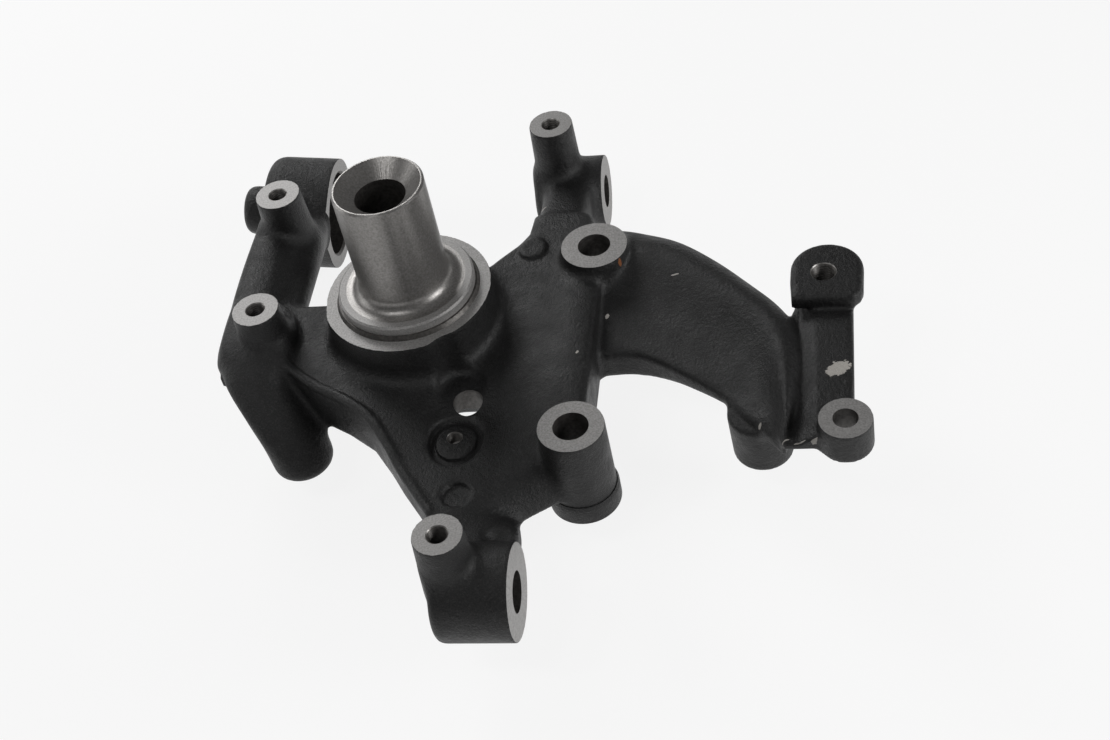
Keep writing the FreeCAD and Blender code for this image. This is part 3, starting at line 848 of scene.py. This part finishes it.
def tap(x, y, top, bottom, radius, pitch=1.5, entry=0.5):
    # a countersunk mouth, then wide and narrow rings down to the drilled end
    inner = radius - THREAD_DEPTH
    plain_end, drill_point, runout, above = 3.0, 2.0, 0.6, 4.0
    threads = []
    for i in range(int((top - entry - bottom - plain_end) / pitch)):
        height = top - entry - i * pitch
        # one flank takes the turned iron as a painted highlight, the other the dark iron as painted shade
        threads += [(radius, height, TURNED), (inner, height - 0.5 * pitch, SHADED)]
    drilled = [(0, bottom - drill_point), (inner, bottom), (inner, threads[-1][1] - runout)]
    mouth = [(radius + entry, top), (radius + entry, top + above), (0, top + above)]
    return lathe("tap", drilled + threads[::-1] + mouth, SHADED, (x, y, 0), sides=48)


PAD_TAP_R = 5.2
PAD_TAP_DEPTH = 26
BOLT_HOLES = ((REAR_BOSS, 9.3), (FRONT_BOSS, 9.4), (SMALL_BOSS, 6.4))
BOLT_HOLE_LOW, BOLT_HOLE_HIGH = -90, -5
WEB_HOLE = (36.4, -58.8, 8.2)
OVAL_TAP = (32.5, -83.4, 4.3)
OVAL_TAP_TOP = -38.2
OVAL_TAP_BOTTOM = -49
for x, y, _ in PADS:
    machine(tap(x, y, PAD_TOP, PAD_TOP - PAD_TAP_DEPTH, PAD_TAP_R))
# the walls of the bolt holes, the web hole and the oval pad's drilled end take the dark iron: painted shade
for (x, y, _), radius in BOLT_HOLES:
    machine(disc(x, y, BOLT_HOLE_LOW, BOLT_HOLE_HIGH, radius, SHADED))
machine(tap(END_LUG[0], END_LUG[1], END_LUG_TOP, -44, END_LUG[2], pitch=1.75))
machine(disc(WEB_HOLE[0], WEB_HOLE[1], -80, -10, WEB_HOLE[2], SHADED))
machine(disc(OVAL_TAP[0], OVAL_TAP[1], -80, OVAL_TAP_BOTTOM + 2, OVAL_TAP[2] - THREAD_DEPTH, SHADED))
machine(tap(OVAL_TAP[0], OVAL_TAP[1], OVAL_TAP_TOP, OVAL_TAP_BOTTOM, OVAL_TAP[2], pitch=1.25, entry=0.3))

# The rear and front lugs are bored across. The left lug has a blind seat for a bush, with a chamfered mouth
# and a smaller bore behind it. All these walls take the dark iron, which is painted shade.
BUSH_SEAT_R = 26
bush_seat = [(0, 26), (BUSH_SEAT_R, 26), (BUSH_SEAT_R, 48), (BUSH_SEAT_R + 1.4, 49.4),
             (BUSH_SEAT_R + 2.4, 50.4), (0, 50.4)]
for centre, left, right, radius in ((REAR_LUG_CENTRE, 45, 100, 10), (FRONT_LUG_CENTRE, 30, 90, 10.5)):
    machine(cross_disc(centre, left, right, radius, SHADED))
machine(lathe("bush_seat", bush_seat, SHADED, LEFT_LUG_CENTRE, "x", lean=LEFT_LUG_LEAN))
machine(cross_disc(LEFT_LUG_CENTRE, 14, 27, 17, SHADED, LEFT_LUG_LEAN))

knuckle.data.polygons.foreach_set("use_smooth", [True] * len(knuckle.data.polygons))
knuckle.data.set_sharp_from_angle(angle=math.radians(38))
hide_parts("knuckle_casting")
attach(knuckle, "root")

# The studio's floor is a plain pale sheet just below the lowest lug. To the camera and in reflections it is
# lifted towards white, and it still shows the object's shadow.
FLOOR_HALF = 4.0
FLOOR_Z = -0.0962
FLOOR_LIFT = 0.86
floor_corners = [(x * FLOOR_HALF, y * FLOOR_HALF, FLOOR_Z) for x, y in ((-1, -1), (1, -1), (1, 1), (-1, 1))]
floor_mesh = bpy.data.meshes.new("floor")
floor_mesh.from_pydata(floor_corners, [], [(0, 1, 2, 3)])
floor = bpy.data.objects.new("floor", floor_mesh)
scene.collection.objects.link(floor)
pale_floor, tree, shader, place = finish("pale_floor")
shader.inputs["Base Color"].default_value = (0.8, 0.8, 0.8, 1.0)
shader.inputs["Roughness"].default_value = 0.9
glow = tree.nodes.new("ShaderNodeEmission")
ray = tree.nodes.new("ShaderNodeLightPath")
seen = math_node(tree, "ADD", ray.outputs["Is Camera Ray"], ray.outputs["Is Glossy Ray"])
lifted = tree.nodes.new("ShaderNodeMixShader")
tree.links.new(math_node(tree, "MULTIPLY", seen, FLOOR_LIFT), lifted.inputs[0])
tree.links.new(shader.outputs[0], lifted.inputs[1])
tree.links.new(glow.outputs[0], lifted.inputs[2])
tree.links.new(lifted.outputs[0], tree.nodes["Material Output"].inputs["Surface"])
floor_mesh.materials.append(pale_floor)

# The studio's light comes from soft boxes: a large one behind on the left, one on each side, and two small
# ones in front that give the shoulder its highlights. The room itself is dim.
ROOM_LIGHT = 0.11
room = bpy.data.worlds.new("studio")
scene.world = room
room.use_nodes = True
room.node_tree.nodes["Background"].inputs["Color"].default_value = (1, 1, 1, 1)
room.node_tree.nodes["Background"].inputs["Strength"].default_value = ROOM_LIGHT


def soft_box(name, at, aim, size, power):
    light = bpy.data.lights.new(name, "AREA")
    light.shape = "RECTANGLE"
    light.size, light.size_y = size
    light.energy = power
    lamp = bpy.data.objects.new(name, light)
    lamp.location = at
    lamp.rotation_euler = (Vector(aim) - Vector(at)).to_track_quat("-Z", "Y").to_euler()
    scene.collection.objects.link(lamp)


soft_box("back_left_light", (-0.68, 1.05, 0.83), (-0.05, 0, -0.03), (0.7, 0.5), 8.5)
soft_box("left_light", (-1.2, 0.1, 0.4), (0, 0, -0.03), (0.6, 0.9), 3)
soft_box("right_light", (1.2, -0.25, 0.4), (0.05, 0, 0.0), (0.6, 0.6), 8)
soft_box("front_light_a", (-0.52, -0.47, 1.1), (0, 0, 0), (0.14, 0.2), 1.3)
soft_box("front_light_b", (-0.2, -0.6, 1.1), (0, 0, 0), (0.14, 0.2), 1.3)

# The camera stands where the photograph's did, as worked out from the ellipses of the round faces. Two
# directions, to its right and upward, turn it.
CAMERA_AT = (0.245904, -0.641975, 0.584708)
to_right = Vector((0.981933, 0.103205, -0.158609))
upward = Vector((0.03595, 0.721171, 0.691823))
backward = to_right.cross(upward)
lens = bpy.data.cameras.new("photo_camera")
lens.sensor_width = 36.0
lens.lens = 52.73
lens.clip_start = 0.01
camera = bpy.data.objects.new("photo_camera", lens)
rows = [(to_right[i], upward[i], backward[i], CAMERA_AT[i]) for i in range(3)]
camera.matrix_world = Matrix(rows + [(0, 0, 0, 1)])
scene.collection.objects.link(camera)
scene.camera = camera
scene.view_settings.view_transform = "Standard"
